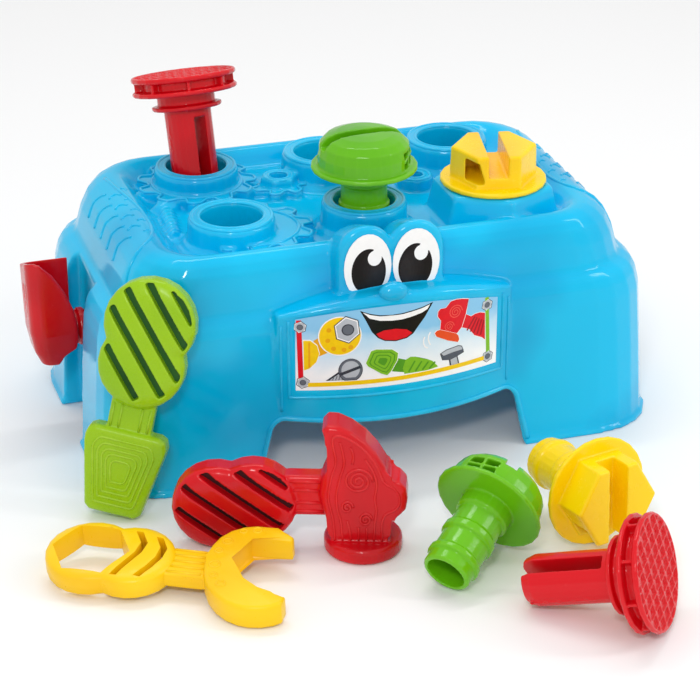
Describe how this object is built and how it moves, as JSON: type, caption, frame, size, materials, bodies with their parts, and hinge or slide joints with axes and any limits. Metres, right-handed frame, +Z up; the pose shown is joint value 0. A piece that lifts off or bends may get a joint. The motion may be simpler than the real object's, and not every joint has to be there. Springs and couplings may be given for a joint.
{
  "type": "toy workbench",
  "caption": "Toddler's hollow plastic workbench with peg sockets, a sliding vice, turning and driven pegs, and chunky hand tools set out in front.",
  "frame": {"origin": "on the floor, in the middle of the footprint of the whole set: bench, vice, pegs and the tools in front", "axes": "+Z up, +Y from the front (label side) to the back, +X from the vice end to the other end"},
  "size_m": [0.3734, 0.4182, 0.1946],
  "materials": {
    "blue_plastic": "glossy moulded",
    "red_plastic": "glossy moulded",
    "green_plastic": "satin moulded",
    "yellow_plastic": "glossy moulded",
    "printed_label": "printed sticker, satin",
    "eye_label": "printed sticker, satin"
  },
  "bodies": {
    "bench": {"bench_shell": "blue_plastic", "front_label": "printed_label", "left_eye_label": "eye_label", "right_eye_label": "eye_label"},
    "vice": {"vice_jaw": "red_plastic", "vice_stem": "red_plastic", "vice_stop": "red_plastic"},
    "peg_nail": {"seated_nail": "red_plastic"},
    "peg_screw": {"seated_screw": "green_plastic"},
    "peg_bolt": {"seated_bolt": "yellow_plastic"},
    "floor_nail": {"loose_nail": "red_plastic"},
    "floor_screw": {"loose_screw": "green_plastic"},
    "floor_bolt": {"loose_bolt": "yellow_plastic"},
    "hammer": {"hammer_front": "red_plastic", "hammer_back": "red_plastic"},
    "screwdriver": {"screwdriver_front": "green_plastic", "screwdriver_back": "green_plastic"},
    "wrench": {"wrench_top": "yellow_plastic", "wrench_bottom": "yellow_plastic"}
  },
  "joints": [
    {"name": "vice_slide", "type": "slide", "parent": "bench", "child": "vice", "axis": [1, 0, 0], "range_m": [-0.028, 0.008]},
    {"name": "nail_drive", "type": "slide", "parent": "bench", "child": "peg_nail", "axis": [-0.0347, 0.2632, 0.9641], "range_m": [-0.024, 0.026]},
    {"name": "screw_turn", "type": "hinge", "parent": "bench", "child": "peg_screw", "pos_m": [0.022, 0.0702, 0.155], "axis": [0, 0, 1], "continuous": true},
    {"name": "bolt_turn", "type": "hinge", "parent": "bench", "child": "peg_bolt", "pos_m": [0.098, 0.0702, 0.1385], "axis": [0, 0, 1], "continuous": true},
    {"name": "floor_nail_lift", "type": "slide", "parent": "bench", "child": "floor_nail", "axis": [0, 0, 1], "range_m": [0, 0.21]},
    {"name": "floor_screw_lift", "type": "slide", "parent": "bench", "child": "floor_screw", "axis": [0, 0, 1], "range_m": [0, 0.21]},
    {"name": "floor_bolt_lift", "type": "slide", "parent": "bench", "child": "floor_bolt", "axis": [0, 0, 1], "range_m": [0, 0.21]},
    {"name": "hammer_lift", "type": "slide", "parent": "bench", "child": "hammer", "axis": [0, 0, 1], "range_m": [0, 0.21]},
    {"name": "screwdriver_lift", "type": "slide", "parent": "bench", "child": "screwdriver", "axis": [0, 0, 1], "range_m": [0, 0.21]},
    {"name": "wrench_lift", "type": "slide", "parent": "bench", "child": "wrench", "axis": [0, 0, 1], "range_m": [0, 0.21]}
  ]
}
